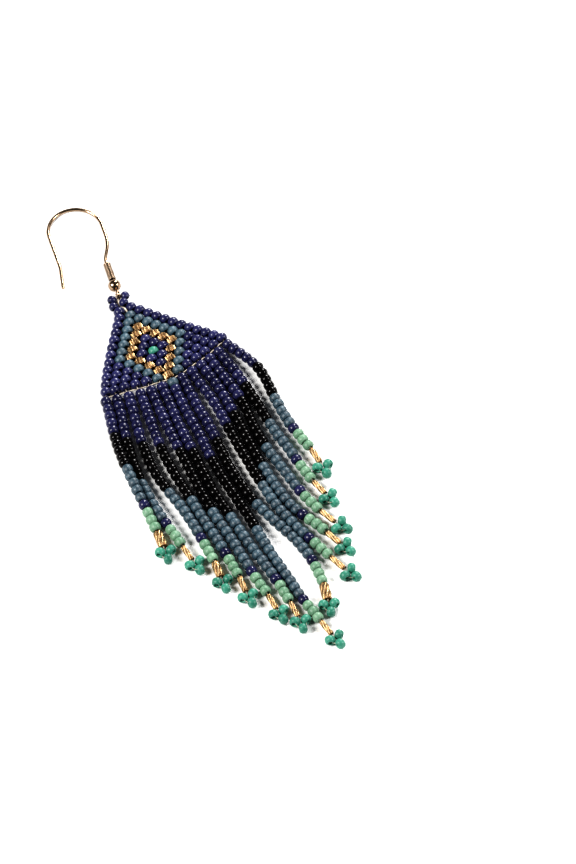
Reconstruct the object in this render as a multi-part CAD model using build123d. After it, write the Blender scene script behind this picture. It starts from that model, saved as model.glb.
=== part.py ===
from build123d import *
import os
from collections import namedtuple
from math import asin, cos, degrees, pi, radians, sin, tan

# A beaded fringe earring lying on its back, in millimetres.
# X runs across the panel, +Y points from the fringe to the ear wire, +Z is up.
# The origin is on the surface it lies on, below the centre bead of the panel's diamond.

# Seed beads
bead_diameter = 1.9
bead_length = 1.5
bead_side_gap = 0.2
bead_end_gap = 0.02
fringe_bead_step = 1.6

# Panel of beads in brick stitch
panel_rows = 12
ladder_columns = 13
motif_row = 5
corner_rise = 2.45
corner_skew = 0.24
left_bulge = 0.45
left_tuck = 0.8
panel_lean = 0.55
last_row_gap = 0.45
panel_edge_bulge = 0.3

# Hanging loop of four beads
loop_bead_diameter = 1.7
loop_bead_length = 1.3
loop_bead_rounding = 0.45
loop_thread_diameter = 0.3
loop_to_panel_gap = 0.2
loop_shift = 0.22
loop_splay_width = 0.27
loop_bead_clearance = 0.1
loop_left_lift_height = 0.16
eye_drop_height = 0.11

# Fringe
strand_gap = 0.32
bugle_width = 1.9
bugle_length = 3.5
bugle_bore = 0.5
bugle_gap = 0.2
picot_bead_diameter = 1.95
picot_bead_length = 1.4
picot_bead_rounding = 0.55
picot_bead_gap = 0.06
picot_thread_diameter = 0.3
picot_gap = 0.14

# Ear wire with its ball and coil
wire_diameter = 0.65
eye_diameter = 1.4
eye_sweep = 325
ball_diameter = 2.3
ball_bore_clearance = 0.06
coil_wire_diameter = 0.33
coil_turns = 13
coil_clearance = 0.05
hook_piece_gap = 0.05
shank_length_above_coil = 0.9
hook_lean = 13.3
arch_diameter = 10
arch_height = 16.65
arch_offset = 1.6
neck_top_height = 12.2
neck_top_radius = 9
neck_foot_radius = 2.8
tail_bend_height = 9
tail_tip_height = 4.3
tail_flare_width = 0.75
tail_bend_radius = 6

# One row for each strand, from the left of the panel to its right.
# column counts from the middle strand, and beads is how many seed beads it holds.
# route: columns across from its own column, beads down from the panel's edge, and lift in
# bead diameters. The headings of its bugle and picot turn from straight down to the right.
# Bugles differ in width: bugle_share is a share of the widest one's.
Strand = namedtuple("Strand", "column beads route bugle_heading picot_heading bugle_share")
strand_rows = [
    Strand(-6, 19, [(-0.04, 0, 0), (-0.32, 1.7, 0), (-1.3, 5.2, 0.05), (-1.95, 8.6, 0.45),
                    (-2.38, 12, 0.75), (-2.68, 15, 0.55), (-2.8, 17.2, 0.25), (-2.95, 19.2, 0)],
           -10, -14, 0.95),
    Strand(-5, 22, [(0, 0, 0), (-0.45, 2, 0), (-1.15, 4.5, 0), (-1.95, 7.8, 0), (-2.5, 11.2, 0),
                    (-2.85, 14.6, 0), (-2.9, 18, 0), (-2.8, 20, 0), (-2.82, 22, 0)],
           2, 2, 0.58),
    Strand(-4, 25, [(0, 0, 0), (-0.35, 1.7, 0), (-1, 4.4, 0), (-1.7, 7.9, 0), (-2.15, 11.2, 0),
                    (-2, 14.8, 0), (-1.8, 18, 0), (-1.95, 21.5, 0), (-2.1, 23.5, 0), (-2.2, 25.4, 0)],
           -10, -9, 0.85),
    Strand(-3, 28, [(0, 0, 0), (-0.25, 1.8, 0), (-0.8, 4.8, 0), (-1.35, 8.2, 0), (-1.65, 11.6, 0),
                    (-1.72, 15.2, 0), (-1.85, 19.5, 0), (-1.84, 23, 0), (-2, 26, 0), (-2.1, 28.3, 0)],
           -9, -3, 0.65),
    Strand(-2, 31, [(0, 0, 0), (-0.25, 1.8, 0), (-0.62, 4.8, 0), (-0.92, 8, 0), (-1.2, 11.5, 0),
                    (-1.6, 15.2, 0), (-1.78, 18.8, 0), (-1.74, 22.4, 0), (-1.82, 26, 0),
                    (-1.97, 29.5, 0), (-1.87, 31.8, 0)],
           -3, 0, 0.58),
    Strand(-1, 34, [(0, 0, 0), (-0.18, 1.8, 0), (-0.6, 4.8, 0), (-0.98, 8.2, 0), (-1.22, 11.6, 0),
                    (-1.62, 15.2, 0), (-1.62, 19, 0), (-1.68, 23.3, 0), (-1.58, 26.8, 0),
                    (-1.42, 30.3, 0), (-1.58, 33.8, 0)],
           -5, -14, 0.58),
    Strand(0, 38, [(0, 0, 0), (-0.2, 1.9, 0), (-0.55, 4.8, 0), (-0.65, 8, 0), (-1.1, 11.8, 0),
                   (-1.27, 15.5, 0), (-1.25, 19.5, 0), (-1.35, 23.2, 0), (-1.53, 27, 0),
                   (-1.44, 31, 0), (-1.52, 34, 0), (-1.27, 37.7, 0)],
           5, 8, 0.58),
    Strand(1, 34, [(0, 0, 0), (-0.15, 1.9, 0), (-0.42, 4.9, 0), (-0.55, 8.8, 0), (-1.05, 12.3, 0),
                   (-1.25, 16, 0), (-1.12, 19.8, 0), (-0.6, 23, 0), (-0.05, 25.8, 0),
                   (0.25, 28.6, 0), (0.2, 31.2, 0), (-0.12, 33.5, 0)],
           -17, -18, 1),
    Strand(2, 31, [(0, 0, 0), (-0.08, 1.6, 0), (0.08, 4.6, 0), (-0.05, 7.8, 0), (-0.32, 11.2, 0),
                   (-0.5, 15, 0), (-0.62, 18.6, 0), (-0.64, 21.8, 0), (-0.3, 24.8, 0),
                   (0.2, 27.7, 0), (0.8, 30.8, 0)],
           14, 26, 0.6),
    Strand(3, 28, [(0, 0, 0), (0.1, 1.6, 0), (0.22, 4.2, 0), (0, 8, 0), (-0.3, 11.8, 0),
                   (-0.55, 15.4, 0), (-0.66, 19, 0), (-0.6, 22.2, 0), (-0.1, 24.6, 0),
                   (0.45, 26.3, 0), (0.75, 27.8, 0)],
           16, 19, 0.58),
    Strand(4, 25, [(0, 0, 0), (0.05, 1.8, 0), (0.25, 4.8, 0), (0.22, 8, 0), (-0.2, 11.2, 0),
                   (-0.37, 14.4, 0), (-0.22, 18, 0), (-0.12, 21.2, 0), (0.1, 23.4, 0),
                   (0.42, 25.2, 0)],
           18, 30, 0.58),
    Strand(5, 22, [(0, 0, 0), (0.15, 1.8, 0), (0.32, 5, 0), (0.24, 8.6, 0), (0.26, 11.2, 0),
                   (0.1, 13.6, 0), (0.32, 16.8, 0), (0.26, 19.2, 0), (0.42, 21.5, 0)],
           9, 12, 0.58),
    Strand(6, 19, [(0, 0, 0), (0.4, 1.6, 0), (1.05, 3.8, 0), (1.3, 6.2, 0), (0.92, 9, 0),
                   (0.7, 12, 0), (0.66, 14.8, 0), (0.95, 17.8, 0)],
           0, -6, 0.6),
]

# Values that follow from the ones above
bead_radius = bead_diameter / 2
column_pitch = bead_diameter + bead_side_gap
row_pitch = bead_length + bead_end_gap
half_ladder = (ladder_columns - 1) / 2


def row_count(row):
    """How many beads a row holds: the ladder row is row 1."""
    return ladder_columns + 1 - row


def row_rise(column):
    """How far a row's bead stands above the row's middle, as the rows bow."""
    share = column / half_ladder
    return corner_rise * abs(share) ** 1.5 + corner_skew * share


def panel_point(column, row):
    """Centre of a panel bead, seen from above. The left corner is tucked in, and the last
    row's two beads stand apart where the loop's thread comes out between them."""
    left_share = max(0, -column / half_ladder)
    x = column * column_pitch + panel_lean * (row - 1) / (panel_rows - 1)
    y = (row - motif_row) * row_pitch + row_rise(column)
    if row == panel_rows and column < 0:
        x -= last_row_gap
    return (x + left_tuck * left_share ** 6, y + left_bulge * sin(pi * left_share))


def bead_shape(diameter, length, rounding):
    """A rounded bead standing on its hole's axis, Z, and centred there, undrilled."""
    barrel = Cylinder(diameter / 2, length)
    return fillet(barrel.edges().filter_by(GeomType.CIRCLE), rounding)


def tube_radii(points):
    """The largest arc at each corner: 0.45 of its shorter run over tan of half the turn."""
    radii = []
    for before, corner, after in zip(points, points[1:], points[2:]):
        run_in = Vector(*corner) - Vector(*before)
        run_out = Vector(*after) - Vector(*corner)
        turn = radians(run_in.get_angle(run_out))
        radii.append(0.45 * min(run_in.length, run_out.length) / tan(turn / 2))
    return radii


def bead_panel():
    """The stitched panel, whose sides step in by half a bead at each row and round each end."""
    half_row = row_pitch / 2
    with BuildPart() as panel:
        with BuildSketch():
            with BuildLine():
                corners = []
                for side in (-1, 1):
                    previous = None
                    for row in range(1, panel_rows + 1):
                        x, y = panel_point(side * (row_count(row) - 1) / 2, row)
                        outer = x + side * bead_radius
                        inner = outer - side * panel_edge_bulge
                        if previous:
                            Line(previous, (inner, y - half_row))
                        else:
                            corners.append((inner, y - half_row))
                        ThreePointArc((inner, y - half_row), (outer, y), (inner, y + half_row))
                        previous = (inner, y + half_row)
                    corners.append(previous)
                left_foot, left_top, right_foot, right_top = corners
                lower_edge = []
                for column in range(-int(half_ladder) + 2, int(half_ladder), 2):
                    x, y = panel_point(column, 1)
                    lower_edge.append((x, y - half_row))
                Line(left_top, right_top)
                Spline(left_foot, *lower_edge, right_foot)
            make_face()
        extrude(amount=bead_diameter)
    return panel.part


def strand_points(strand):
    """The route of a strand's centre line, in millimetres, from below the ladder row."""
    ladder_y = (1 - motif_row) * row_pitch + row_rise(strand.column)
    top_y = ladder_y - row_pitch / 2 - strand_gap
    return [((strand.column + across) * column_pitch,
             top_y - down * fringe_bead_step,
             bead_radius + lift * bead_diameter)
            for across, down, lift in strand.route]


def strand_tube(points):
    """A string of seed beads as one tube: straight runs joined by tangent arcs."""
    path = FilletPolyline(*points, radius=tube_radii(points))
    start = Plane(origin=path @ 0, z_dir=path % 0)
    return sweep(start * Circle(bead_radius), path=path), path.length


def heading_vector(heading):
    """Unit step along a heading, in degrees from straight down towards the right."""
    return Vector(sin(radians(heading)), -cos(radians(heading)), 0)


def bugle(start, heading, width):
    """A drilled six-sided bugle bead lying along its heading."""
    step = heading_vector(heading)
    face = RegularPolygon(width / 2, 6) - Circle(bugle_bore / 2)
    across = heading_vector(heading + 90)
    return extrude(Plane(origin=start, x_dir=across, z_dir=step) * face, bugle_length)


# How far a picot's bead reaches towards the next one, which lies at 60 degrees to its hole.
picot_bead_reach = (picot_bead_rounding
                    + (picot_bead_length / 2 - picot_bead_rounding) * cos(radians(60))
                    + (picot_bead_diameter / 2 - picot_bead_rounding) * sin(radians(60)))


def picot(bugle_end, bugle_heading, heading, width):
    """Three beads on a ring of thread: two beside the end of a bugle of this width and one
    below."""
    half_pair = picot_bead_reach + picot_bead_gap / 2
    ring_radius = half_pair / sin(radians(60))
    half_bugle = width / 2
    beside = picot_bead_length / 2 + picot_gap + sin(radians(30)) * (half_bugle - half_pair)
    turned = abs(sin(radians(heading - bugle_heading))) * (half_bugle + half_pair)
    to_ring_centre = ring_radius * cos(radians(60))
    clear_of_thread = ring_radius - to_ring_centre + (picot_thread_diameter + picot_gap) / 2
    reach = max(beside / cos(radians(30)) + turned, clear_of_thread)
    centre = bugle_end + heading_vector(bugle_heading) * reach
    centre += heading_vector(heading) * to_ring_centre
    centre.Z = picot_bead_diameter / 2
    beads = Pos(*centre) * Torus(ring_radius, picot_thread_diameter / 2)
    bead = bead_shape(picot_bead_diameter, picot_bead_length, picot_bead_rounding)
    for around in (0, 120, 240):
        place = centre + heading_vector(heading + around) * ring_radius
        beads += Plane(origin=place, z_dir=heading_vector(heading + around + 90)) * bead
    return beads


# Places on the ear wire, in its own plane: the eye's centre is its origin and
# its shank runs up +Y.
wire_radius = wire_diameter / 2
eye_reach = eye_diameter / 2 + wire_radius
ball_radius = ball_diameter / 2
ball_height = eye_reach + hook_piece_gap + ball_radius
coil_start = ball_height + ball_radius + hook_piece_gap
coil_length = coil_turns * coil_wire_diameter
coil_end = coil_start + coil_length
neck_foot_height = coil_end + shank_length_above_coil
arch_radius = arch_diameter / 2
arch_centre_x = arch_offset - arch_radius
tail_x = arch_offset - arch_diameter

# The ear wire leans to the right and lies on its side, on the ball and the far end of its arch.
lean_cos = cos(radians(hook_lean))
lean_sin = sin(radians(hook_lean))
ball_reach = ball_height * lean_cos
arch_reach = arch_height * lean_cos - arch_centre_x * lean_sin + arch_radius
hook_tilt = degrees(asin((ball_radius - wire_radius) / (arch_reach - ball_reach)))

# The loop's beads, from the left bead on the panel's last row to the right one.
loop_left_foot = panel_point(-0.5, panel_rows)
loop_right_foot = panel_point(0.5, panel_rows)
loop_middle = (loop_left_foot[0] + loop_right_foot[0]) / 2 + loop_shift
loop_top_offset = (wire_diameter + loop_bead_diameter) / 2 + loop_bead_clearance
loop_rise = (row_pitch + loop_bead_length) / 2 + loop_to_panel_gap
loop_low_left = (loop_left_foot[0] - loop_splay_width, loop_left_foot[1] + loop_rise)
loop_low_right = (loop_low_left[0] + column_pitch, loop_right_foot[1] + loop_rise)
loop_top_left = (loop_middle - loop_top_offset,
                 loop_low_left[1] + loop_bead_length + loop_left_lift_height)
loop_top_right = (loop_middle + loop_top_offset, loop_low_right[1] + loop_bead_length)
eye_centre = Vector(loop_middle + eye_diameter / 2 * lean_sin,
                    (loop_top_left[1] + loop_top_right[1] + loop_bead_length) / 2 - eye_drop_height,
                    ball_radius + ball_reach * sin(radians(hook_tilt)))
hook_place = Location(eye_centre) * Rotation(-hook_tilt, 0, -hook_lean)


def ear_hook():
    """The ear wire: its tail, arch, neck and shank, and the eye turned square to them."""
    with BuildLine() as wire:
        FilletPolyline((tail_x - tail_flare_width, tail_tip_height), (tail_x, tail_bend_height),
                       (tail_x, arch_height), radius=tail_bend_radius)
        ThreePointArc((tail_x, arch_height), (arch_centre_x, arch_height + arch_radius),
                      (arch_offset, arch_height))
        FilletPolyline((arch_offset, arch_height), (arch_offset, neck_top_height),
                       (0, neck_foot_height), (0, eye_diameter / 2),
                       radius=[neck_top_radius, neck_foot_radius])
    path = wire.line
    shank = sweep(Plane(origin=path @ 0, z_dir=path % 0) * Circle(wire_radius), path=path)
    eye_arc = Plane.YZ * CenterArc((0, 0), eye_diameter / 2, 0, eye_sweep)
    eye = sweep(Plane(origin=eye_arc @ 0, z_dir=eye_arc % 0) * Circle(wire_radius), path=eye_arc)
    return hook_place * (shank + eye)


def hook_ball():
    """The bored ball on the shank, above the eye."""
    bore = Cylinder(wire_radius + ball_bore_clearance, 2 * ball_diameter)
    return hook_place * Pos(0, ball_height, 0) * Rotation(90, 0, 0) * (Sphere(ball_radius) - bore)


def hook_coil():
    """The close-wound coil on the shank, as a sleeve with one round rib for each turn."""
    inner = wire_radius + coil_clearance
    middle = inner + coil_wire_diameter / 2
    outer = inner + coil_wire_diameter
    with BuildPart() as coil:
        with BuildSketch(Plane.XY):
            with BuildLine():
                Polyline((middle, coil_start), (inner, coil_start), (inner, coil_end),
                         (middle, coil_end))
                for turn in range(coil_turns):
                    low = coil_start + turn * coil_wire_diameter
                    ThreePointArc((middle, low), (outer, low + coil_wire_diameter / 2),
                                  (middle, low + coil_wire_diameter))
            make_face()
        revolve(axis=Axis.Y)
    return hook_place * coil.part


def hanging_loop():
    """Four seed beads on a thread whose top passes through the eye."""
    z = bead_radius
    left_end = (loop_low_left[0], loop_left_foot[1] + row_pitch / 2 + loop_to_panel_gap, z)
    right_end = (loop_low_right[0], loop_right_foot[1] + row_pitch / 2 + loop_to_panel_gap, z)
    thread_points = [left_end, (*loop_low_left, z), (*loop_top_left, z), tuple(eye_centre),
                     (*loop_top_right, z), (*loop_low_right, z), right_end]
    path = Spline(*thread_points)
    loop = sweep(Plane(origin=path @ 0, z_dir=path % 0) * Circle(loop_thread_diameter / 2), path=path)
    bead = bead_shape(loop_bead_diameter, loop_bead_length, loop_bead_rounding)
    for centre in thread_points[1:3] + thread_points[4:6]:
        share = path.param_at_point(Vector(*centre))
        loop += Plane(origin=centre, z_dir=path % share) * bead
    return loop


def write_node(name, solid):
    """Write one piece to its own file."""
    solid.label = name
    export_step(solid, "parts/" + name + ".step")


os.makedirs("parts", exist_ok=True)
write_node("ear_hook", ear_hook())
write_node("hook_ball", hook_ball())
write_node("hook_coil", hook_coil())
write_node("hanging_loop", hanging_loop())
write_node("bead_panel", bead_panel())
for number, strand in enumerate(strand_rows, 1):
    points = strand_points(strand)
    tube, length = strand_tube(points)
    write_node(f"strand_{number:02d}", tube)
    section = Circle(bead_radius).area
    print(f"strand_{number:02d} length {length:.1f} a bead {length / strand.beads:.2f}",
          f"volume share {tube.volume / (section * length):.4f}",
          "radii", [round(radius, 1) for radius in tube_radii(points)])
    heading = strand.bugle_heading
    width = bugle_width * strand.bugle_share
    bugle_start = Vector(*points[-1]) + heading_vector(heading) * bugle_gap
    bugle_end = bugle_start + heading_vector(heading) * bugle_length
    write_node(f"gold_bugle_{number:02d}", bugle(bugle_start, heading, width))
    write_node(f"picot_{number:02d}", picot(bugle_end, heading, strand.picot_heading, width))
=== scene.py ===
from collections import namedtuple
import math
import random

import bpy
from mathutils import Matrix, Vector


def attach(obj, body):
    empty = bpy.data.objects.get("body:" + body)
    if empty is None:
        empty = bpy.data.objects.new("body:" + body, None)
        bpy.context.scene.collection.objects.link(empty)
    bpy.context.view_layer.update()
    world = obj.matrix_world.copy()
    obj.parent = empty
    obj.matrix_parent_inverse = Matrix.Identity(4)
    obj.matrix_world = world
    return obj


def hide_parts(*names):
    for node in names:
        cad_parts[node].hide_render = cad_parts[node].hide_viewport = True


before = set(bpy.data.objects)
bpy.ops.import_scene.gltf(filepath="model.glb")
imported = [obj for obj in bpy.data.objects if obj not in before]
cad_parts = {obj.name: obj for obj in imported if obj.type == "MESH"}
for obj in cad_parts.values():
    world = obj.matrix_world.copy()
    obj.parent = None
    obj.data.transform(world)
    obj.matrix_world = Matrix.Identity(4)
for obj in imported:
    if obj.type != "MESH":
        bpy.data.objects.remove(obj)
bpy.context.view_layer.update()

mm = 0.001


# The view. The earring lies on a pale matt surface with its fringe towards the lower right,
# and is seen from above and in front through a long lens, almost free of perspective.
photo_height = 864
pixels_per_metre = 5500
lens_length = 900
sensor_size = 36
view_centre = Vector((12.8, -27.8, 0.95)) * mm
view_side = Vector((-0.2875, -0.5143, 0.808)).normalized()
view_distance = photo_height / pixels_per_metre * lens_length / sensor_size
camera_data = bpy.data.cameras.new("view")
camera_data.lens = lens_length
camera_data.sensor_width = sensor_size
camera_data.clip_end = 20
camera = bpy.data.objects.new("view", camera_data)
bpy.context.collection.objects.link(camera)
camera.location = view_centre + view_side * view_distance
camera.rotation_euler = view_side.to_track_quat("Z", "Y").to_euler()
bpy.context.scene.camera = camera
bpy.context.scene.view_settings.view_transform = "Standard"
bpy.context.scene.view_settings.look = "High Contrast"


# The surface under the earring is a large sheet of matt white card. A soft lamp at the left
# lights the beads, and weaker ones behind and at the right give each bead two more small
# highlights. All stand low, so that little light reaches the gaps between the strings.
class Value:
    """A socket of a finish, worked on with plain operators that add its Math nodes."""

    def __init__(self, finish, socket):
        self.finish = finish
        self.socket = socket

    def math(self, operation, first, second):
        return self.finish.node("Math", {"operation": operation}, {0: first, 1: second})

    def __add__(self, other):
        return self.math("ADD", self, other)

    def __radd__(self, other):
        return self.math("ADD", other, self)

    def __sub__(self, other):
        return self.math("SUBTRACT", self, other)

    def __rsub__(self, other):
        return self.math("SUBTRACT", other, self)

    def __mul__(self, other):
        return self.math("MULTIPLY", self, other)

    def __rmul__(self, other):
        return self.math("MULTIPLY", other, self)

    def clamp(self):
        return self.finish.node("Clamp", {}, {"Value": self})


class Finish:
    """A material being made: its nodes, and the constants of its shader."""

    def __init__(self, name, **constants):
        self.material = bpy.data.materials.new(name)
        self.material.use_nodes = True
        self.tree = self.material.node_tree
        self.shader = self.tree.nodes["Principled BSDF"]
        for socket, value in constants.items():
            self.shader.inputs[socket.replace("_", " ")].default_value = value

    def node(self, kind, settings, sockets, output=0):
        """A node of this kind, whose settings are made before its sockets are filled."""
        made = self.tree.nodes.new("ShaderNode" + kind)
        for name, value in settings.items():
            setattr(made, name, value)
        for name, value in sockets.items():
            if isinstance(value, Value):
                self.tree.links.new(value.socket, made.inputs[name])
            else:
                made.inputs[name].default_value = value
        return Value(self, made.outputs[output])

    def mix(self, factor, low, high):
        """A colour between two others: sockets 6 and 7 of a Mix node are its colours."""
        return self.node("Mix", {"data_type": "RGBA"}, {0: factor, 6: low, 7: high}, 2)

    def noise(self, place, scale, detail=2.0, roughness=0.5):
        return self.node("TexNoise", {}, {"Vector": place, "Scale": scale, "Detail": detail,
                                          "Roughness": roughness})

    def bump(self, height, distance, strength=1.0):
        return self.node("Bump", {}, {"Height": height, "Distance": distance,
                                      "Strength": strength})

    def feed(self, **inputs):
        """Links what varies to the shader, and gives the finished material."""
        for socket, value in inputs.items():
            self.tree.links.new(value.socket, self.shader.inputs[socket.replace("_", " ")])
        return self.material


card = Finish("white_card", Roughness=0.9)
card_place = card.node("TexCoord", {}, {}, "Object")
card_grain = card.noise(card_place, 900.0, 4.0)
card.feed(Base_Color=card.mix(card_grain, (0.86, 0.86, 0.86, 1), (0.9, 0.9, 0.9, 1)),
          Normal=card.bump(card_grain, 0.00002, 0.3))
bpy.ops.mesh.primitive_plane_add(size=3)
floor = bpy.context.object
floor.name = "floor"
floor.data.materials.append(card.material)
lamp_distance = 1.3


def lamp(name, side, size, power, colour):
    """A square soft lamp that looks at the middle of the view from one side."""
    data = bpy.data.lights.new(name, "AREA")
    data.size = size
    data.energy = power
    data.color = colour
    made = bpy.data.objects.new(name, data)
    bpy.context.collection.objects.link(made)
    direction = Vector(side).normalized()
    made.location = view_centre + direction * lamp_distance
    made.rotation_euler = direction.to_track_quat("Z", "Y").to_euler()


lamp("left_lamp", (-0.72, 0.14, 0.65), 0.4, 19.5, (1.0, 0.985, 0.96))
lamp("right_lamp", (0.64, -0.42, 0.58), 0.33, 11.5, (1.0, 0.99, 0.98))
lamp("back_lamp", (0.58, 0.6, 0.54), 0.33, 15.0, (1.0, 0.99, 0.98))
room = bpy.data.worlds.new("room")
room.use_nodes = True
room.node_tree.nodes["Background"].inputs["Color"].default_value = (0.95, 0.96, 1.0, 1)
room.node_tree.nodes["Background"].inputs["Strength"].default_value = 0.05
bpy.context.scene.world = room


# The panel: rounded glass seed beads joined side by side in brick stitch, so that each bead
# sits between two of the row below. Its first row is a ladder of thirteen beads, and the rows
# above it narrow by one bead each. The beads' holes run towards the ear wire.
bead_diameter = 1.9
bead_length = 1.5
bead_hole = 0.8
column_pitch = bead_diameter + 0.2
row_pitch = bead_length + 0.02
panel_rows = 12
ladder_columns = 13
half_ladder = (ladder_columns - 1) / 2
motif_row = 5
corner_rise = 2.45
corner_skew = 0.24
left_bulge = 0.45
left_tuck = 0.8
panel_lean = 0.55
last_row_gap = 0.45


def row_rise(column):
    """How far a row's bead stands above the row's middle, in millimetres."""
    share = column / half_ladder
    return corner_rise * abs(share) ** 1.5 + corner_skew * share


def panel_point(column, row):
    """Centre of a panel bead, seen from above, in millimetres."""
    left_share = max(0, -column / half_ladder)
    x = column * column_pitch + panel_lean * (row - 1) / (panel_rows - 1)
    y = (row - motif_row) * row_pitch + row_rise(column)
    if row == panel_rows and column < 0:
        x -= last_row_gap
    return x + left_tuck * left_share ** 6, y + left_bulge * math.sin(math.pi * left_share)


def round_profile(diameter, length, hole, steps=9):
    """Radius and place along the hole: round a bead's outside and back through its bore. The
    outside is fuller than a ball's, and is cut off at each end short of its pole."""
    half = length / 2
    fullness = 2.6
    pole = 1.13 * half
    outside = []
    for step in range(steps + 1):
        along = half * math.sin(math.pi / 2 * (2 * step / steps - 1))
        share = (1 - (abs(along) / pole) ** fullness) ** (1 / fullness)
        outside.append((diameter / 2 * share, along))
    lip = (outside[0][0] + hole / 2) / 2
    mouth = half - (outside[0][0] - hole / 2) / 2
    bore = [(lip, half), (hole / 2, mouth), (hole / 2, -mouth), (lip, -half)]
    return outside + bore


def spin(profile, sides, twist=0.0, ridges=0, depth=0.0):
    """Points and faces of a profile turned about its hole, the Z axis. It may be twisted along
    that axis, in turns a millimetre, with hollows between the ridges of its outside."""
    points = []
    for side in range(sides):
        for radius, along in profile:
            angle = 2 * math.pi * (side / sides + twist * along)
            hollow = depth * (1 - math.cos(2 * math.pi * ridges * side / sides)) / 2
            reach = radius - hollow * max(0, radius - bead_hole / 2)
            points.append(Vector((reach * math.cos(angle), reach * math.sin(angle), along)))
    count = len(profile)
    faces = []
    for side in range(sides):
        here, there = side * count, (side + 1) % sides * count
        for step in range(count):
            after = (step + 1) % count
            faces.append((here + step, there + step, there + after, here + after))
    return points, faces


class Joined:
    """Many like bodies joined into one mesh, each with its own tone and inner places."""

    def __init__(self):
        self.points = []
        self.faces = []
        self.tones = []
        self.places = []

    def add(self, shape, placing=Matrix.Identity(4), tone=0.5):
        """Adds a body's points and faces where it is placed."""
        points, faces = shape
        first = len(self.points)
        self.points += [placing @ point for point in points]
        self.faces += [[first + corner for corner in face] for face in faces]
        self.tones += [tone] * len(points)
        self.places += points

    def build(self, name, material, slot, nodes=(), smooth=True):
        """Makes the piece, which rides on the part and stands for the given nodes of it."""
        mesh = bpy.data.meshes.new(name)
        mesh.from_pydata([point * mm for point in self.points], [], self.faces)
        mesh.attributes.new("tone", "FLOAT", "POINT").data.foreach_set("value", self.tones)
        flat = [number for place in self.places for number in place]
        inner = mesh.attributes.new("inner_place", "FLOAT_VECTOR", "POINT")
        inner.data.foreach_set("vector", flat)
        mesh.polygons.foreach_set("use_smooth", [smooth] * len(mesh.polygons))
        mesh.materials.append(material)
        piece = bpy.data.objects.new(name, mesh)
        bpy.context.collection.objects.link(piece)
        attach(piece, "root")
        if nodes:
            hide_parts(*nodes)


def bead_placing(centre, along, chance, width=1.0, length=1.0, tilt=4.0):
    """Where a bead sits, in millimetres: its hole follows the thread, and it is tilted and
    turned on it by chance."""
    turn = Vector(along).to_track_quat("Z", "Y").to_matrix().to_4x4()
    sway = Matrix.Rotation(math.radians(chance.uniform(-tilt, tilt)), 4, "X")
    nod = Matrix.Rotation(math.radians(chance.uniform(-tilt, tilt)), 4, "Y")
    spun = Matrix.Rotation(chance.uniform(0, 2 * math.pi), 4, "Z")
    size = Matrix.Diagonal((width, width, length, 1))
    return Matrix.Translation(Vector(centre)) @ turn @ sway @ nod @ spun @ size


def bead_glass(name, dark, light, drawn_colour, roughness, drawn, **constants):
    """Opaque bead glass: its colour changes from bead to bead and a little inside each, with
    fine drawn lines along the hole."""
    glass = Finish(name, **constants)
    tone = glass.node("Attribute", {"attribute_name": "tone"}, {}, "Fac")
    place = glass.node("Attribute", {"attribute_name": "inner_place"}, {}, "Vector")
    stretched = glass.node("VectorMath", {"operation": "MULTIPLY"}, {0: place, 1: (1, 1, 0.2)})
    own = glass.node("CombineXYZ", {}, {"X": tone * 40, "Y": tone * 17})
    shifted = glass.node("VectorMath", {"operation": "ADD"}, {0: stretched, 1: own})
    cloud = glass.noise(shifted, 1.6, 3.0, 0.6)
    lines = glass.noise(shifted, 7.0, 4.0, 0.7)
    pits = glass.noise(place, 9.0, 3.0, 0.6)
    body = glass.mix((tone * 0.8 + cloud * 0.7 - 0.25).clamp(), dark, light)
    colour = glass.mix(((lines - 0.5) * drawn).clamp(), body, drawn_colour)
    rough = (roughness + (pits - 0.5) * 0.16 + (lines - 0.5) * 0.1).clamp()
    return glass.feed(Base_Color=colour, Roughness=rough,
                      Normal=glass.bump(cloud * 0.7 + pits * 0.3, 0.00001, 0.25))


bead_sides = 24
round_bead = spin(round_profile(bead_diameter, bead_length, bead_hole), bead_sides)
navy_glass = bead_glass("navy_glass", (0.004, 0.004, 0.02, 1), (0.032, 0.033, 0.105, 1),
                        (0.055, 0.057, 0.17, 1), 0.27, 2.6, IOR=1.4)
steel_glass = bead_glass("steel_blue_glass", (0.006, 0.02, 0.034, 1), (0.034, 0.076, 0.106, 1),
                         (0.15, 0.25, 0.3, 1), 0.52, 3.6, IOR=1.65)
turquoise_glass = bead_glass("turquoise_glass", (0.012, 0.112, 0.076, 1), (0.048, 0.24, 0.17, 1),
                             (0.17, 0.44, 0.34, 1), 0.42, 2.6, IOR=1.45)


def panel_colour(offset, row):
    """The colour of a panel bead, by its offset from the middle: nested diamonds of steel
    blue and gold round a navy one with a turquoise heart."""
    ring = abs(offset) + abs(row - motif_row) / 2
    if row == motif_row and offset == 0:
        return "turquoise"
    if ring == 2:
        return "gold"
    if ring == 3:
        return "steel"
    return "navy"


panel_chance = random.Random(11)
panel_beads = {"navy": Joined(), "steel": Joined(), "turquoise": Joined()}
gold_places = []
for row in range(1, panel_rows + 1):
    count = ladder_columns + 1 - row
    for index in range(count):
        column = index - (count - 1) / 2
        x, y = panel_point(column, row)
        width = panel_chance.uniform(1.03, 1.09)
        length = panel_chance.uniform(0.95, 1.0)
        height = bead_diameter / 2 * width + panel_chance.uniform(0, 0.06)
        colour = panel_colour(column, row)
        centre = (x + panel_chance.uniform(-0.04, 0.04), y, height)
        if colour == "gold":
            gold_places.append(centre)
            continue
        placing = bead_placing(centre, (0, 1, 0), panel_chance, width, length)
        # Panel beads take the lighter tones and string beads of the same glass the darker ones, as
        # painted light: the panel's beads face the lamps differently.
        panel_beads[colour].add(round_bead, placing, panel_chance.uniform(0.35, 1.0))
panel_beads["navy"].build("panel_navy_beads", navy_glass, "navy_beads", ["bead_panel"])
panel_beads["steel"].build("panel_steel_beads", steel_glass, "steel_beads")
panel_beads["turquoise"].build("panel_heart_bead", turquoise_glass, "turquoise_beads")
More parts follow.
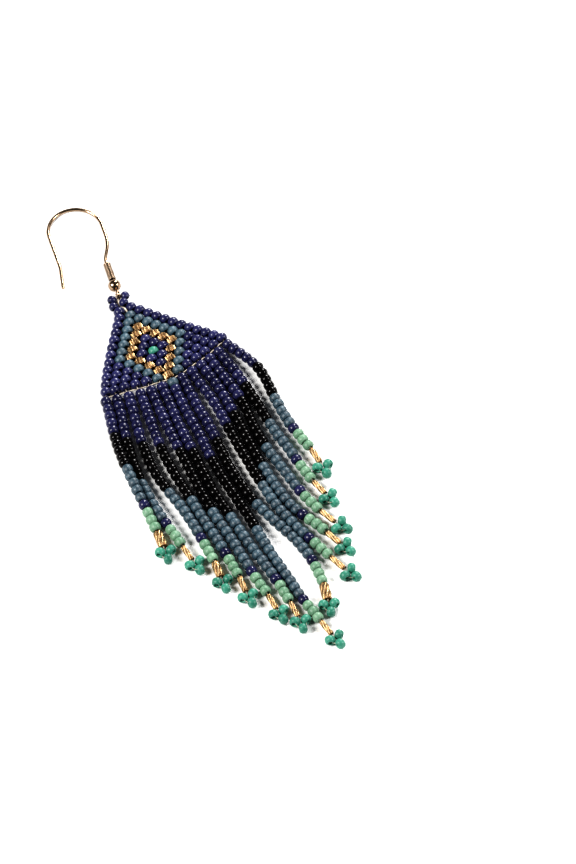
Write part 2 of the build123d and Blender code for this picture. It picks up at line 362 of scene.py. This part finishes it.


# The gold beads of the panel: short cut beads, each with nine slightly twisted ridges, so that
# it shows bright edges between dark hollows, which its colour also paints in as highlight and
# shade. They are glass with a metallic gold coat.
def cut_profile(width, length, hole):
    """A straight-sided bead's outside, with its ends cut slanting, and its bore."""
    half = length / 2
    end, shoulder, middle, mouth = 0.78, 0.72 * half, 0.25 * half, 0.9 * half
    outside = [(width / 2 * end, -half), (width / 2, -shoulder), (width / 2, -middle),
               (width / 2, middle), (width / 2, shoulder), (width / 2 * end, half)]
    return outside + [(hole / 2, mouth), (hole / 2, -mouth)]


def gold_coat(name, ridge_radius, hollow_depth, twist):
    """A metallic gold coat, its colour bright on the ridges and brown in the hollows between them
    as painted highlight and painted shade, with fine lines that follow the twist, dark spots and
    worn ones. Sizes are in millimetres, the twist in turns a millimetre."""
    gold = Finish(name, Metallic=1.0)
    tone = gold.node("Attribute", {"attribute_name": "tone"}, {}, "Fac")
    place = gold.node("Attribute", {"attribute_name": "inner_place"}, {}, "Vector")
    own = gold.node("CombineXYZ", {}, {"X": tone * 31, "Z": tone * 13})
    along = gold.node("SeparateXYZ", {}, {"Vector": place}, "Z")
    straight = gold.node("VectorRotate", {"rotation_type": "Z_AXIS"},
                         {"Vector": place, "Angle": along * (-2 * math.pi * twist)})
    shifted = gold.node("VectorMath", {"operation": "ADD"}, {0: straight, 1: own})
    drawn = gold.node("VectorMath", {"operation": "MULTIPLY"}, {0: shifted, 1: (1, 1, 0.12)})
    lustre = gold.noise(shifted, 2.4, 3.0, 0.6)
    lines = gold.noise(drawn, 4.5, 3.0, 0.65)
    wear = gold.noise(shifted, 9.0, 4.0, 0.7)
    across = gold.node("VectorMath", {"operation": "MULTIPLY"}, {0: place, 1: (1, 1, 0)})
    radius = gold.node("VectorMath", {"operation": "LENGTH"}, {0: across}, "Value")
    # Painted highlight and shade: the coat's colour is bright on the ridges and brown in the
    # hollows.
    painted_ridge_light = ((radius - (ridge_radius - hollow_depth)) * (1 / hollow_depth)).clamp()
    brown = gold.mix((lustre * 2.6 - 0.85).clamp(), (0.1, 0.037, 0.012, 1), (0.33, 0.15, 0.048, 1))
    yellow = gold.mix((lustre * 2.6 - 0.85).clamp(), (0.64, 0.45, 0.22, 1), (0.9, 0.71, 0.45, 1))
    coat = gold.mix((painted_ridge_light * 1.5 - 0.25 + (lines - 0.5) * 2.4).clamp(), brown, yellow)
    spotted = gold.mix((wear * 5 - 1.75).clamp(), (0.05, 0.018, 0.006, 1), coat)
    colour = gold.mix((wear * 3 - 1.5).clamp(), spotted, (0.9, 0.74, 0.46, 1))
    rough = (0.42 + wear * 0.2 - lustre * 0.08).clamp()
    return gold.feed(Base_Color=colour, Roughness=rough,
                     Normal=gold.bump(wear, 0.00002, 0.3))


cut_width = 1.88
cut_length = 1.42
cut_ridges = 9
cut_hollow = 0.42
cut_twist = 0.04
cut_finish = gold_coat("gold_coated_cut_glass", cut_width / 2,
                       cut_hollow * (cut_width - bead_hole) / 2, cut_twist)
cut_bead = spin(cut_profile(cut_width, cut_length, bead_hole), 2 * cut_ridges, cut_twist,
                cut_ridges, cut_hollow)
gold_chance = random.Random(12)
panel_gold = Joined()
for centre in gold_places:
    width = gold_chance.uniform(0.94, 1.02)
    placing = bead_placing(centre, (0, 1, 0), gold_chance, width, tilt=6.0)
    panel_gold.add(cut_bead, placing, gold_chance.random())
panel_gold.build("panel_gold_beads", cut_finish, "gold_beads", smooth=False)


# The stitching thread: waxed cream nylon of two twisted plies. It steps from string to string
# below the ladder row, and shows in the hollow between each pair of strings.
def swept(path, radius, sides=8, twist=2.2, plies=2, depth=0.18):
    """A closed tube along a path of points in millimetres, with twisted plies."""
    points = []
    turned = 0.0
    normal = Vector((0, 0, 1))
    for index, point in enumerate(path):
        before = path[max(index - 1, 0)]
        after = path[min(index + 1, len(path) - 1)]
        along = (after - before).normalized()
        normal = (normal - along * normal.dot(along)).normalized()
        across = along.cross(normal)
        turned += twist * (point - before).length
        for side in range(sides):
            angle = 2 * math.pi * side / sides
            ply = radius * (1 - depth * (1 + math.cos(plies * (angle - turned))) / 2)
            points.append(point + (normal * math.cos(angle) + across * math.sin(angle)) * ply)
    faces = [tuple(reversed(range(sides)))]
    for ring in range(len(path) - 1):
        for side in range(sides):
            here, there = ring * sides + side, ring * sides + (side + 1) % sides
            faces.append((here, there, there + sides, here + sides))
    faces.append(tuple(range(len(points) - sides, len(points))))
    return points, faces


def smooth_line(points, closed=False):
    """Points in millimetres along a smooth line that is led by the given ones."""
    curve = bpy.data.curves.new("line", "CURVE")
    curve.dimensions = "3D"
    spline = curve.splines.new("NURBS")
    spline.points.add(len(points) - 1)
    for point, place in zip(spline.points, points):
        point.co = (*place, 1)
    spline.order_u = 3
    spline.use_endpoint_u = not closed
    spline.use_cyclic_u = closed
    spline.resolution_u = 12
    holder = bpy.data.objects.new("line", curve)
    mesh = bpy.data.meshes.new_from_object(holder)
    line = [vertex.co.copy() for vertex in mesh.vertices]
    bpy.data.objects.remove(holder)
    bpy.data.curves.remove(curve)
    bpy.data.meshes.remove(mesh)
    return line


thread_finish = Finish("waxed_thread", Roughness=0.55, IOR=1.5)
thread_place = thread_finish.node("TexCoord", {}, {}, "Object")
thread_fibre = thread_finish.noise(thread_place, 9000.0, 3.0, 0.7)
thread_soil = thread_finish.noise(thread_place, 700.0, 2.0)
thread_cream = thread_finish.mix(thread_fibre, (0.5, 0.43, 0.33, 1), (0.82, 0.76, 0.65, 1))
thread_finish.feed(
    Base_Color=thread_finish.mix((thread_soil - 0.3).clamp(), thread_cream, (0.42, 0.3, 0.2, 1)),
    Normal=thread_finish.bump(thread_fibre, 0.00003, 0.5))
thread_radius = 0.11
thread_chance = random.Random(17)
step_thickness = 0.85
below_row = row_pitch / 2 + 0.16
rise_to_right = 0.05
last_column = ladder_columns // 2
step_line = []
for column in range(-last_column, last_column + 1):
    x, y = panel_point(column, 1)
    step_line.append((x, y - below_row, thread_chance.uniform(0.4, 0.8)))
    if column < last_column:
        next_x, next_y = panel_point(column + 1, 1)
        drop = below_row + thread_chance.uniform(0.35, 0.55) - rise_to_right * (column + 1)
        step_line.append(((x + next_x) / 2, (y + next_y) / 2 - drop,
                          thread_chance.uniform(1.5, 1.8)))
thread_steps = Joined()
thread_steps.add(swept(smooth_line(step_line), thread_radius * step_thickness))
thread_steps.build("panel_thread", thread_finish.material, "thread")


# The fringe: thirteen strings of seed beads hung from the ladder row, longer towards the
# middle. Each is navy, then black, then steel blue, and ends in a navy bead and three mint
# ones. The strings lie loosely side by side, and the first lies over the second.
fringe_step = 1.6
strand_gap = 0.32
middle_share = 11
mint_count = 3
# One row for each string, from the left of the panel to its right. column counts from the
# middle one, and beads is how many it holds. route: columns across from its own column, beads
# down from the ladder row, and lift in bead diameters. The headings of its bugle and picot are
# in degrees from straight down to the right. bugle_share is a share of the widest bugle's width.
Strand = namedtuple("Strand", "column beads route bugle_heading picot_heading bugle_share")
strand_rows = [
    Strand(-6, 19, [(-0.04, 0, 0), (-0.32, 1.7, 0), (-1.3, 5.2, 0.05), (-1.95, 8.6, 0.45),
                    (-2.38, 12, 0.75), (-2.68, 15, 0.55), (-2.8, 17.2, 0.25), (-2.95, 19.2, 0)],
           -10, -14, 0.95),
    Strand(-5, 22, [(0, 0, 0), (-0.45, 2, 0), (-1.15, 4.5, 0), (-1.95, 7.8, 0), (-2.5, 11.2, 0),
                    (-2.85, 14.6, 0), (-2.9, 18, 0), (-2.8, 20, 0), (-2.82, 22, 0)],
           2, 2, 0.58),
    Strand(-4, 25, [(0, 0, 0), (-0.35, 1.7, 0), (-1, 4.4, 0), (-1.7, 7.9, 0), (-2.15, 11.2, 0),
                    (-2, 14.8, 0), (-1.8, 18, 0), (-1.95, 21.5, 0), (-2.1, 23.5, 0),
                    (-2.2, 25.4, 0)],
           -10, -9, 0.85),
    Strand(-3, 28, [(0, 0, 0), (-0.25, 1.8, 0), (-0.8, 4.8, 0), (-1.35, 8.2, 0),
                    (-1.65, 11.6, 0), (-1.72, 15.2, 0), (-1.85, 19.5, 0), (-1.84, 23, 0),
                    (-2, 26, 0), (-2.1, 28.3, 0)],
           -9, -3, 0.65),
    Strand(-2, 31, [(0, 0, 0), (-0.25, 1.8, 0), (-0.62, 4.8, 0), (-0.92, 8, 0), (-1.2, 11.5, 0),
                    (-1.6, 15.2, 0), (-1.78, 18.8, 0), (-1.74, 22.4, 0), (-1.82, 26, 0),
                    (-1.97, 29.5, 0), (-1.87, 31.8, 0)],
           -3, 0, 0.58),
    Strand(-1, 34, [(0, 0, 0), (-0.18, 1.8, 0), (-0.6, 4.8, 0), (-0.98, 8.2, 0),
                    (-1.22, 11.6, 0), (-1.62, 15.2, 0), (-1.62, 19, 0), (-1.68, 23.3, 0),
                    (-1.58, 26.8, 0), (-1.42, 30.3, 0), (-1.58, 33.8, 0)],
           -5, -14, 0.58),
    Strand(0, 38, [(0, 0, 0), (-0.2, 1.9, 0), (-0.55, 4.8, 0), (-0.65, 8, 0), (-1.1, 11.8, 0),
                   (-1.27, 15.5, 0), (-1.25, 19.5, 0), (-1.35, 23.2, 0), (-1.53, 27, 0),
                   (-1.44, 31, 0), (-1.52, 34, 0), (-1.27, 37.7, 0)],
           5, 8, 0.58),
    Strand(1, 34, [(0, 0, 0), (-0.15, 1.9, 0), (-0.42, 4.9, 0), (-0.55, 8.8, 0),
                   (-1.05, 12.3, 0), (-1.25, 16, 0), (-1.12, 19.8, 0), (-0.6, 23, 0),
                   (-0.05, 25.8, 0), (0.25, 28.6, 0), (0.2, 31.2, 0), (-0.12, 33.5, 0)],
           -17, -18, 1),
    Strand(2, 31, [(0, 0, 0), (-0.08, 1.6, 0), (0.08, 4.6, 0), (-0.05, 7.8, 0),
                   (-0.32, 11.2, 0), (-0.5, 15, 0), (-0.62, 18.6, 0), (-0.64, 21.8, 0),
                   (-0.3, 24.8, 0), (0.2, 27.7, 0), (0.8, 30.8, 0)],
           14, 26, 0.6),
    Strand(3, 28, [(0, 0, 0), (0.1, 1.6, 0), (0.22, 4.2, 0), (0, 8, 0), (-0.3, 11.8, 0),
                   (-0.55, 15.4, 0), (-0.66, 19, 0), (-0.6, 22.2, 0), (-0.1, 24.6, 0),
                   (0.45, 26.3, 0), (0.75, 27.8, 0)],
           16, 19, 0.58),
    Strand(4, 25, [(0, 0, 0), (0.05, 1.8, 0), (0.25, 4.8, 0), (0.22, 8, 0), (-0.2, 11.2, 0),
                   (-0.37, 14.4, 0), (-0.22, 18, 0), (-0.12, 21.2, 0), (0.1, 23.4, 0),
                   (0.42, 25.2, 0)],
           18, 30, 0.58),
    Strand(5, 22, [(0, 0, 0), (0.15, 1.8, 0), (0.32, 5, 0), (0.24, 8.6, 0), (0.26, 11.2, 0),
                   (0.1, 13.6, 0), (0.32, 16.8, 0), (0.26, 19.2, 0), (0.42, 21.5, 0)],
           9, 12, 0.58),
    Strand(6, 19, [(0, 0, 0), (0.4, 1.6, 0), (1.05, 3.8, 0), (1.3, 6.2, 0), (0.92, 9, 0),
                   (0.7, 12, 0), (0.66, 14.8, 0), (0.95, 17.8, 0)],
           0, -6, 0.6),
]
black_glass = bead_glass("black_glass", (0.0015, 0.0012, 0.0014, 1), (0.004, 0.0035, 0.004, 1),
                         (0.006, 0.0052, 0.0045, 1), 0.22, 1.5, IOR=1.28)
mint_glass = bead_glass("mint_glass", (0.085, 0.185, 0.115, 1), (0.2, 0.34, 0.23, 1),
                        (0.42, 0.58, 0.44, 1), 0.45, 2.8, IOR=1.45)
fringe_glass = {"navy": navy_glass, "black": black_glass, "steel": steel_glass,
                "mint": mint_glass}


def strand_route(strand):
    """A string's few chosen points, in millimetres, down from the ladder row's lower edge."""
    middle = (1 - motif_row) * row_pitch + row_rise(strand.column)
    top = middle - row_pitch / 2 - strand_gap
    return [Vector(((strand.column + across) * column_pitch, top - down * fringe_step,
                    bead_diameter * (0.5 + lift))) for across, down, lift in strand.route]


def place_along(line, share):
    """The point and direction at a share of a line's length."""
    lengths = [(after - before).length for before, after in zip(line, line[1:])]
    left = share * sum(lengths)
    for before, after, length in zip(line, line[1:], lengths):
        if left <= length:
            break
        left -= length
    return before + (after - before) * (left / length), (after - before).normalized()


def strand_colour(bead, strand):
    """The colour of a bead, counted from the top of its string: the first bead of the middle
    string is steel blue, as the foot of the panel's outer diamond."""
    share = middle_share - abs(strand.column)
    counted = bead - (strand.beads - 3 * share - 1 - mint_count)
    if bead >= strand.beads - mint_count:
        return "mint"
    if bead == strand.beads - 1 - mint_count or 0 <= counted < share:
        return "navy"
    return "black" if share <= counted < 2 * share else "steel"


fringe_chance = random.Random(13)
strand_lines = []
for number, strand in enumerate(strand_rows, 1):
    line = smooth_line(strand_route(strand))
    strand_lines.append(line)
    node = f"strand_{number:02d}"
    length = sum((after - before).length for before, after in zip(line, line[1:]))
    pitch = length / strand.beads
    parts = {}
    for bead in range(strand.beads):
        centre, along = place_along(line, (bead + 0.5) / strand.beads)
        width = fringe_chance.uniform(1.02, 1.11)
        centre.x += fringe_chance.uniform(-0.04, 0.04)
        centre.z += bead_diameter / 2 * (width - 1)
        thickness = pitch / bead_length * fringe_chance.uniform(0.93, 0.99)
        placing = bead_placing(centre, along, fringe_chance, width, thickness, 5.0)
        colour = strand_colour(bead, strand)
        # String beads take the darker tones and panel beads of the same glass the lighter ones, as
        # painted shade: the strings' beads face the lamps differently.
        parts.setdefault(colour, Joined()).add(round_bead, placing, fringe_chance.uniform(0, 0.55))
    for colour, joined in parts.items():
        joined.build(f"{node}_{colour}_beads", fringe_glass[colour], colour + "_beads", [node])


# The gold bugle at each string's end: a short cut tube whose six edges are twisted round it,
# of the same gold-coated glass as the gold beads. Bugles differ in width. The string's thread
# comes from the ladder row and runs through the string and its bugle.
bugle_width = 1.9
bugle_length = 3.5
bugle_bore = 0.5
bugle_gap = 0.2
bugle_ridges = 6
bugle_hollow = 0.45
bugle_twist = 0.09
thread_tail = 0.4
bugle_chance = random.Random(14)
bugle_finish = gold_coat("gold_coated_bugle", bugle_width / 2,
                         bugle_hollow * (bugle_width - bead_hole) / 2, bugle_twist)


def heading_step(heading):
    """Unit step along a heading, in degrees from straight down towards the right."""
    return Vector((math.sin(math.radians(heading)), -math.cos(math.radians(heading)), 0))


def bugle_profile():
    """The tube's outside in short lengths, slightly narrower at its ends, and its bore."""
    half = bugle_length / 2
    lengths = 20
    narrowing = 0.16
    mouth = half * 0.96
    outside = []
    for step in range(lengths + 1):
        along = half * (2 * step / lengths - 1)
        outside.append((bugle_width / 2 * (1 - narrowing * abs(along / half) ** 6), along))
    return outside + [(bugle_bore / 2, mouth), (bugle_bore / 2, -mouth)]


twisted_bugle = spin(bugle_profile(), 4 * bugle_ridges, bugle_twist, bugle_ridges, bugle_hollow)
bugle_ends = []
for number, (line, strand) in enumerate(zip(strand_lines, strand_rows), 1):
    step = heading_step(strand.bugle_heading)
    start = line[-1] + step * bugle_gap
    end = start + step * bugle_length
    bugle_ends.append(end)
    joined = Joined()
    placing = bead_placing(start + step * bugle_length / 2, step, bugle_chance,
                           strand.bugle_share, tilt=1.0)
    joined.add(twisted_bugle, placing, bugle_chance.random())
    joined.build(f"gold_bugle_{number:02d}_cut", bugle_finish, "gold_beads",
                 [f"gold_bugle_{number:02d}"])
    string = Joined()
    top = Vector((*panel_point(strand.column, 1), bead_diameter / 2))
    string.add(swept([top] + line + [start, end + step * thread_tail], thread_radius))
    string.build(f"strand_{number:02d}_thread", thread_finish.material, "thread")


# The picot under each bugle: three turquoise seed beads on a ring of thread, two beside the
# bugle's end and one below, with their holes along the ring.
picot_diameter = 1.95
picot_length = 1.4
picot_half_pair = 1.023
picot_gap = 0.14
picot_thread = 0.3
ring_thickness = 0.5
ring_in = 0.87
ring_out = 1.08
picot_bead = spin(round_profile(picot_diameter, picot_length, bead_hole), bead_sides)
picot_ring = picot_half_pair / math.sin(math.radians(60))
picot_chance = random.Random(15)
for number, (end, strand) in enumerate(zip(bugle_ends, strand_rows), 1):
    heading = strand.picot_heading
    half_bugle = bugle_width * strand.bugle_share / 2
    beside = picot_length / 2 + picot_gap + (half_bugle - picot_half_pair) / 2
    turn = math.radians(heading - strand.bugle_heading)
    turned = abs(math.sin(turn)) * (half_bugle + picot_half_pair)
    reach = max(beside / math.cos(math.radians(30)) + turned,
                (picot_ring + picot_thread + picot_gap) / 2)
    centre = end + heading_step(strand.bugle_heading) * reach
    centre += heading_step(heading) * picot_ring / 2
    centre.z = picot_diameter / 2
    joined = Joined()
    for around in (0, 120, 240):
        place = centre + heading_step(heading + around) * picot_ring
        width = picot_chance.uniform(0.98, 1.04)
        length = picot_chance.uniform(0.98, 1.06)
        placing = bead_placing(place, heading_step(heading + around + 90), picot_chance, width,
                               length, 6.0)
        joined.add(picot_bead, placing, picot_chance.random())
    node = f"picot_{number:02d}"
    joined.build(node + "_beads", turquoise_glass, "turquoise_beads", [node])
    ring = [centre + heading_step(heading + angle) * picot_ring
            * (ring_in if angle % 120 else ring_out) for angle in range(0, 360, 60)]
    thread = Joined()
    thread.add(swept(smooth_line(ring, closed=True), thread_radius * ring_thickness))
    thread.build(node + "_thread", thread_finish.material, "thread")


# The hanging loop: four navy seed beads, two on each side, on the panel's own thread, which
# passes through the eye of the ear wire at its top.
loop_diameter = 1.7
loop_length = 1.3
loop_to_panel_gap = 0.2
loop_shift = 0.22
loop_splay = 0.27
loop_clearance = 0.1
loop_left_lift = 0.16
eye_drop = 0.11
wire_diameter = 0.65
eye_diameter = 1.4
eye_height = 1.24013
hook_lean = 13.3
loop_left_foot = panel_point(-0.5, panel_rows)
loop_right_foot = panel_point(0.5, panel_rows)
loop_middle = (loop_left_foot[0] + loop_right_foot[0]) / 2 + loop_shift
loop_top_offset = (wire_diameter + loop_diameter) / 2 + loop_clearance
loop_rise = (row_pitch + loop_length) / 2 + loop_to_panel_gap
loop_low_left = (loop_left_foot[0] - loop_splay, loop_left_foot[1] + loop_rise)
loop_low_right = (loop_low_left[0] + column_pitch, loop_right_foot[1] + loop_rise)
loop_top_left = (loop_middle - loop_top_offset, loop_low_left[1] + loop_length + loop_left_lift)
loop_top_right = (loop_middle + loop_top_offset, loop_low_right[1] + loop_length)
eye_x = loop_middle + eye_diameter / 2 * math.sin(math.radians(hook_lean))
eye_y = (loop_top_left[1] + loop_top_right[1] + loop_length) / 2 - eye_drop
loop_height = bead_diameter / 2
loop_left = [(*loop_left_foot, loop_height), (*loop_low_left, loop_height),
             (*loop_top_left, loop_height)]
loop_right = [(*loop_top_right, loop_height), (*loop_low_right, loop_height),
              (*loop_right_foot, loop_height)]
loop_points = [Vector(point) for point in
               loop_left + [(eye_x, eye_y, eye_height)] + loop_right]
tie_thickness = 1.4
loop_chance = random.Random(16)
loop_bead = spin(round_profile(loop_diameter, loop_length, bead_hole), bead_sides)
loop_beads = Joined()
bead_points = (1, 2, 4, 5)
for index in bead_points:
    along = (loop_points[index + 1] - loop_points[index - 1]).normalized()
    placing = bead_placing(loop_points[index], along, loop_chance,
                           loop_chance.uniform(0.98, 1.03), 1.0, 3.0)
    loop_beads.add(loop_bead, placing, loop_chance.random())
loop_beads.build("hanging_loop_beads", navy_glass, "navy_beads", ["hanging_loop"])
loop_thread = Joined()
loop_thread.add(swept(smooth_line(loop_points), thread_radius))
panel_top = loop_left_foot[1]
tie = [(0.4, panel_top - 1.1, 0.9), (0.15, panel_top - 0.4, 1.9), (0.3, panel_top + 0.5, 1.0),
       (0.0, panel_top + 1.3, 0.5), (0.1, panel_top + 2.2, 1.4),
       (0.4, eye_y - eye_diameter / 2, 0.9)]
loop_thread.add(swept(smooth_line([Vector(point) for point in tie]),
                      thread_radius * tie_thickness))
loop_thread.build("hanging_loop_thread", thread_finish.material, "thread")


# The ear wire, its ball and its coil: gold-plated wire, bent and polished, with fine
# scratches. The coil is a thinner wire, close-wound on the shank above the ball; its colour
# is made dark in the grooves between its turns, as painted shade.
plate = Finish("gold_plate", Metallic=1.0)
plate_place = plate.node("TexCoord", {}, {}, "Object")
plate_cloud = plate.noise(plate_place, 260.0, 3.0, 0.6)
plate_scratch = plate.noise(plate_place, 6000.0, 4.0, 0.7)
plate_colour = plate.mix(plate_cloud, (0.26, 0.17, 0.11, 1), (0.42, 0.31, 0.21, 1))
plate.feed(Base_Color=plate.mix((plate_scratch * 2 - 0.9).clamp(), plate_colour,
                                (0.6, 0.47, 0.34, 1)),
           Roughness=(0.15 + plate_scratch * 0.14).clamp(),
           Normal=plate.bump(plate_scratch, 0.00001, 0.3))
for name in ("ear_hook", "hook_ball"):
    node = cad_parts[name]
    node.data.materials.clear()
    node.data.materials.append(plate.material)

coil_wire = 0.33
coil_thickness = 0.41
coil_turns = 13
coil_clearance = 0.05
coil_groove = 0.05
coil_start = Vector((1.494, 17.6174, 1.1014))
coil_end = Vector((2.4809, 21.7887, 0.9276))
coil_radius = wire_diameter / 2 + coil_clearance + coil_wire / 2
coil_axis = (coil_end - coil_start).normalized()
wound = Finish("gold_plate_wound", Metallic=1.0)
wound_place = wound.node("Attribute", {"attribute_name": "inner_place"}, {}, "Vector")
from_start = wound.node("VectorMath", {"operation": "SUBTRACT"}, {0: wound_place, 1: coil_start})
off_axis = wound.node("VectorMath", {"operation": "CROSS_PRODUCT"}, {0: from_start, 1: coil_axis})
wound_reach = wound.node("VectorMath", {"operation": "LENGTH"}, {0: off_axis}, "Value")
wound_scratch = wound.noise(wound_place, 6.0, 4.0, 0.7)
# Painted shade: the coil's colour turns almost black in towards the shank, in the grooves between
# its turns.
outside_painted_groove_shade = ((wound_reach - coil_radius - coil_groove) * (4 / coil_wire)).clamp()
wound.feed(Base_Color=wound.mix((outside_painted_groove_shade + (wound_scratch - 0.5) * 0.3).clamp(),
                                (0.012, 0.006, 0.003, 1), (0.43, 0.32, 0.23, 1)),
           Roughness=(0.2 + wound_scratch * 0.18).clamp(),
           Normal=wound.bump(wound_scratch, 0.00001, 0.3))
coil_side = coil_axis.cross(Vector((0, 0, 1))).normalized()
coil_up = coil_side.cross(coil_axis)
coil_path = []
coil_samples = 24 * coil_turns
first = coil_start + coil_axis * coil_wire / 2
travel = (coil_end - coil_start).length - coil_wire
for sample in range(coil_samples + 1):
    angle = 2 * math.pi * coil_turns * sample / coil_samples
    around = coil_side * math.cos(angle) + coil_up * math.sin(angle)
    coil_path.append(first + coil_axis * (travel * sample / coil_samples) + around * coil_radius)
coil = Joined()
coil.add(swept(coil_path, coil_wire * coil_thickness, sides=12, twist=0, plies=1, depth=0))
coil.build("hook_coil_wound", wound.material, "gold_wire", ["hook_coil"])
